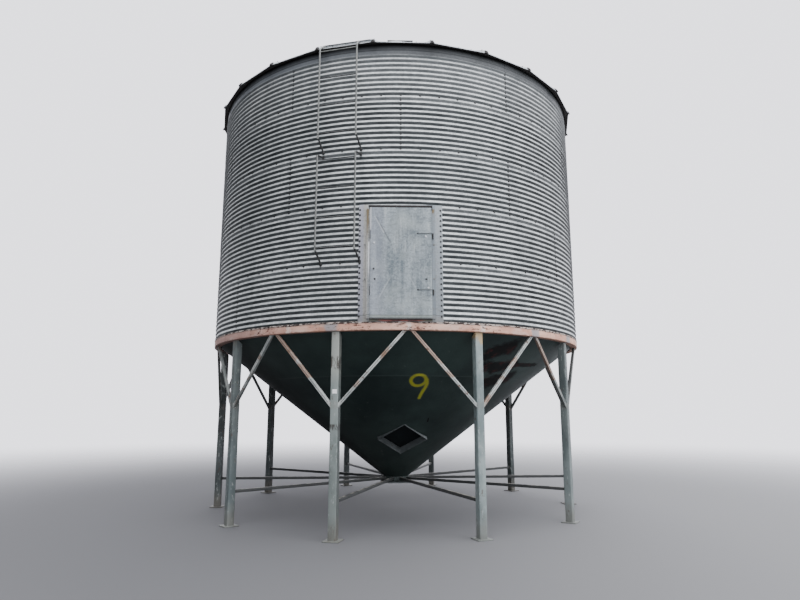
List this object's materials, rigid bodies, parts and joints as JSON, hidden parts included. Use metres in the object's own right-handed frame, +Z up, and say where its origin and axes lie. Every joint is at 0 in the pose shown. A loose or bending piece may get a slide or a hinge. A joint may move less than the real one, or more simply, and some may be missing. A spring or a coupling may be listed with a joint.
{
  "type": "hopper-bottom grain bin",
  "caption": "Round corrugated steel grain bin on legs with a ribbed conical roof, a steep hopper cone, a hinged door, two ladder sections and V-braced legs.",
  "frame": {"origin": "on the bin axis at ground level, under the feet", "axes": "+Z up along the bin axis, the door faces -Y, +X to the right when the door is faced"},
  "size_m": [6.0292, 6.0675, 8.1003],
  "materials": {
    "galvanised": "weathered corrugated galvanised sheet",
    "roof_galvanised": "weathered galvanised sheet",
    "door_steel": "bluish galvanised sheet",
    "dull_steel": "dull galvanised steel",
    "ladder_steel": "galvanised tube",
    "primer": "faded red primer with rust",
    "blue_paint": "faded blue-grey paint",
    "brace_steel": "grey paint with rust",
    "tie_steel": "dark paint with worn edges",
    "hopper_paint": "dark green-black paint with rust patches"
  },
  "bodies": {
    "bin": {"leg_01": "blue_paint", "leg_02": "blue_paint", "leg_03": "blue_paint", "leg_04": "blue_paint", "leg_05": "blue_paint", "leg_06": "blue_paint", "leg_07": "blue_paint", "leg_08": "blue_paint", "leg_09": "blue_paint", "leg_10": "blue_paint", "brace_01_left": "brace_steel", "brace_01_right": "brace_steel", "brace_02_left": "brace_steel", "brace_02_right": "brace_steel", "brace_03_left": "brace_steel", "brace_03_right": "brace_steel", "brace_04_left": "brace_steel", "brace_04_right": "brace_steel", "brace_05_left": "brace_steel", "brace_05_right": "brace_steel", "brace_06_left": "brace_steel", "brace_06_right": "brace_steel", "brace_07_left": "brace_steel", "brace_07_right": "brace_steel", "brace_08_left": "brace_steel", "brace_08_right": "brace_steel", "brace_09_left": "brace_steel", "brace_09_right": "brace_steel", "brace_10_left": "brace_steel", "brace_10_right": "brace_steel", "floor_tie_01": "tie_steel", "floor_tie_02": "tie_steel", "floor_tie_03": "tie_steel", "floor_tie_04": "tie_steel", "floor_tie_05": "tie_steel", "floor_tie_06": "tie_steel", "floor_tie_07": "tie_steel", "floor_tie_08": "tie_steel", "floor_tie_09": "tie_steel", "floor_tie_10": "tie_steel", "outlet_collar": "hopper_paint", "slide_gate": "dull_steel", "hopper_cone": "hopper_paint", "hatch_frame": "dull_steel", "hatch_cover": "hopper_paint", "ring_beam": "primer", "wall_tier_1": "galvanised", "wall_tier_2": "galvanised", "wall_tier_3": "galvanised", "wall_tier_4": "galvanised", "wall_tier_5": "galvanised", "door_frame": "door_steel", "ladder_lower": "ladder_steel", "ladder_upper": "ladder_steel", "roof": "roof_galvanised", "filler_neck": "roof_galvanised", "filler_lid": "dull_steel", "roof_hatch": "dull_steel"},
    "door": {"door": "door_steel"}
  },
  "joints": [
    {"name": "door_hinge", "type": "hinge", "parent": "bin", "child": "door", "pos_m": [0.398, -2.957, 3.3], "axis": [0, 0, 1], "range_deg": [0, 120]}
  ]
}
